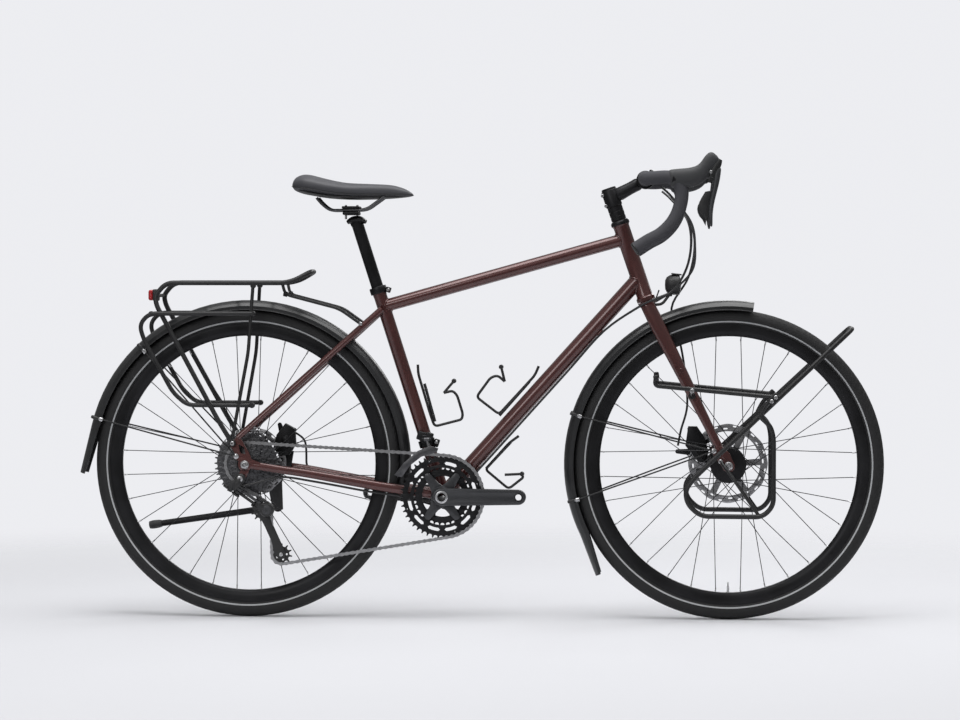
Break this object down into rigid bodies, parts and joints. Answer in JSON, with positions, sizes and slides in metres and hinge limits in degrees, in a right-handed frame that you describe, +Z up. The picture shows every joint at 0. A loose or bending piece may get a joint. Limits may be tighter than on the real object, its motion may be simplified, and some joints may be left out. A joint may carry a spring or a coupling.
{
  "type": "touring bicycle",
  "caption": "Touring bicycle with drop handlebar, front and rear racks, mudguards, disc brakes, derailleur drive, lights and a side stand.",
  "frame": {"origin": "on the ground below the middle of the bounding box", "axes": "+X the way it rides, +Y to the rider's left, +Z up"},
  "size_m": [1.8181, 0.4804, 1.0415],
  "materials": {
    "frame_paint": "metallic brown-red paint",
    "tyre_rubber": "matt",
    "black_anodised": "black anodised",
    "black_tube": "black powder coat",
    "black_plastic": "matt",
    "steel": "bright",
    "soft_rubber": "matt",
    "bar_tape": "wrapped tape",
    "saddle_skin": "padded cover",
    "red_lens": "clear red"
  },
  "bodies": {
    "frame": {"head_tube": "frame_paint", "top_tube": "frame_paint", "down_tube": "frame_paint", "seat_tube": "frame_paint", "chainstays": "frame_paint", "seatstays": "frame_paint", "bottom_bracket": "black_anodised", "seat_collar": "black_anodised", "rear_axle": "steel", "rear_caliper": "black_anodised", "kickstand_bracket": "black_tube", "front_derailleur_clamp": "black_anodised", "derailleur_body": "black_plastic", "rear_mudguard": "black_plastic", "rear_rack": "black_tube", "tail_light": "red_lens", "bottle_cage_seat_tube": "black_anodised", "bottle_cage_down_tube": "black_anodised", "bottle_cage_under": "black_anodised", "control_cables": "soft_rubber", "chain": "steel"},
    "seat": {"seatpost": "black_anodised", "saddle_base": "black_plastic", "saddle_cover": "saddle_skin"},
    "steering": {"fork": "frame_paint", "stem": "black_anodised", "handlebar": "bar_tape", "hood_left": "soft_rubber", "hood_right": "soft_rubber", "front_mudguard": "black_plastic", "front_rack": "black_tube", "headlight": "black_plastic", "front_caliper": "black_anodised", "front_axle": "steel"},
    "front_wheel": {"front_tyre": "tyre_rubber", "front_rim": "black_anodised", "front_hub": "black_anodised", "front_rotor": "steel"},
    "rear_wheel": {"rear_tyre": "tyre_rubber", "rear_rim": "black_anodised", "rear_hub": "black_anodised", "rear_rotor": "steel"},
    "cassette": {"cassette": "steel"},
    "crankset": {"crank_right": "black_anodised", "chainring_large": "black_anodised", "chainring_small": "black_anodised", "crank_left": "black_anodised"},
    "derailleur_link": {"derailleur_link": "black_plastic"},
    "derailleur_knuckle": {"derailleur_knuckle": "black_plastic"},
    "derailleur_cage": {"derailleur_cage": "black_anodised"},
    "jockey_upper": {"jockey_upper": "black_plastic"},
    "jockey_lower": {"jockey_lower": "black_plastic"},
    "front_derailleur_cage": {"front_derailleur_cage": "steel"},
    "front_caliper_arm": {"front_caliper_arm": "black_anodised"},
    "rear_caliper_arm": {"rear_caliper_arm": "black_anodised"},
    "kickstand_leg": {"kickstand_leg": "black_tube"},
    "brake_lever_left": {"brake_lever_left": "black_plastic"},
    "brake_lever_right": {"brake_lever_right": "black_plastic"},
    "shift_paddle_left": {"shift_paddle_left": "black_plastic"},
    "shift_paddle_right": {"shift_paddle_right": "black_plastic"}
  },
  "joints": [
    {"name": "steering_turn", "type": "hinge", "parent": "frame", "child": "steering", "pos_m": [0.37239, 0, 0.72666], "axis": [-0.3211, 0, 0.947], "range_deg": [-60, 60], "deforming": ["control_cables"]},
    {"name": "front_wheel_spin", "type": "hinge", "parent": "steering", "child": "front_wheel", "pos_m": [0.56, 0, 0.349], "axis": [0, 1, 0], "continuous": true},
    {"name": "rear_wheel_spin", "type": "hinge", "parent": "frame", "child": "rear_wheel", "pos_m": [-0.526, 0, 0.349], "axis": [0, 1, 0], "continuous": true},
    {"name": "crank_spin", "type": "hinge", "parent": "frame", "child": "crankset", "pos_m": [-0.08231, 0, 0.2776], "axis": [0, 1, 0], "continuous": true, "deforming": ["chain"]},
    {"name": "cassette_spin", "type": "hinge", "parent": "frame", "child": "cassette", "pos_m": [-0.526, 0, 0.349], "axis": [0, 1, 0], "continuous": true},
    {"name": "derailleur_shift", "type": "hinge", "parent": "frame", "child": "derailleur_link", "pos_m": [-0.54, -0.08, 0.291], "axis": [0.5775, 0, 0.8164], "range_deg": [-26, 14.5]},
    {"name": "derailleur_parallel", "type": "hinge", "parent": "derailleur_link", "child": "derailleur_knuckle", "pos_m": [-0.499, -0.062, 0.262], "axis": [0.5775, 0, 0.8164], "range_deg": [-15.5, 27]},
    {"name": "derailleur_tension", "type": "hinge", "parent": "derailleur_knuckle", "child": "derailleur_cage", "pos_m": [-0.4784, -0.0383, 0.2467], "axis": [0, 1, 0], "range_deg": [-20, 45], "stiffness_Nm_per_rad": 3},
    {"name": "jockey_upper_spin", "type": "hinge", "parent": "derailleur_cage", "child": "jockey_upper", "pos_m": [-0.492, -0.0383, 0.243], "axis": [0, 1, 0], "continuous": true},
    {"name": "jockey_lower_spin", "type": "hinge", "parent": "derailleur_cage", "child": "jockey_lower", "pos_m": [-0.44751, -0.0383, 0.14458], "axis": [0, 1, 0], "continuous": true},
    {"name": "front_derailleur_shift", "type": "hinge", "parent": "frame", "child": "front_derailleur_cage", "pos_m": [-0.11831, -0.034, 0.4046], "axis": [1, 0, 0], "range_deg": [0, 8]},
    {"name": "seatpost_height", "type": "slide", "parent": "frame", "child": "seat", "axis": [-0.3039, 0, 0.9527], "range_m": [-0.06, 0.045]},
    {"name": "kickstand_fold", "type": "hinge", "parent": "frame", "child": "kickstand_leg", "pos_m": [-0.471, 0.086, 0.243], "axis": [0.0625, -0.9038, -0.4234], "range_deg": [0, 52.5]},
    {"name": "brake_left", "type": "hinge", "parent": "steering", "child": "brake_lever_left", "pos_m": [0.51, 0.206, 0.994], "axis": [0, 1, 0], "range_deg": [0, 20], "stiffness_Nm_per_rad": 3, "springref_deg": -11.46},
    {"name": "brake_right", "type": "hinge", "parent": "steering", "child": "brake_lever_right", "pos_m": [0.51, -0.206, 0.994], "axis": [0, 1, 0], "range_deg": [0, 20], "stiffness_Nm_per_rad": 3, "springref_deg": -11.46},
    {"name": "shift_left", "type": "hinge", "parent": "brake_lever_left", "child": "shift_paddle_left", "pos_m": [0.514, 0.2035, 0.9605], "axis": [-1, 0, 0], "range_deg": [0, 18], "stiffness_Nm_per_rad": 0.5, "springref_deg": -17.19},
    {"name": "shift_right", "type": "hinge", "parent": "brake_lever_right", "child": "shift_paddle_right", "pos_m": [0.514, -0.2035, 0.9605], "axis": [1, 0, 0], "range_deg": [0, 18], "stiffness_Nm_per_rad": 0.5, "springref_deg": -17.19},
    {"name": "front_brake_arm", "type": "hinge", "parent": "steering", "child": "front_caliper_arm", "pos_m": [0.494, 0.0563, 0.373], "axis": [0, 1, 0], "range_deg": [0, 18]},
    {"name": "rear_brake_arm", "type": "hinge", "parent": "frame", "child": "rear_caliper_arm", "pos_m": [-0.452, 0.0613, 0.397], "axis": [0, 1, 0], "range_deg": [0, 18]}
  ],
  "couplings": [
    {"joint": "cassette_spin", "follows": "crank_spin", "ratio": 1.9167},
    {"joint": "jockey_lower_spin", "follows": "crank_spin", "ratio": 4.1818},
    {"joint": "jockey_upper_spin", "follows": "crank_spin", "ratio": -4.1818},
    {"joint": "derailleur_parallel", "follows": "derailleur_shift", "ratio": -1},
    {"joint": "front_brake_arm", "follows": "brake_left", "ratio": 0.8},
    {"joint": "rear_brake_arm", "follows": "brake_right", "ratio": 0.8}
  ]
}
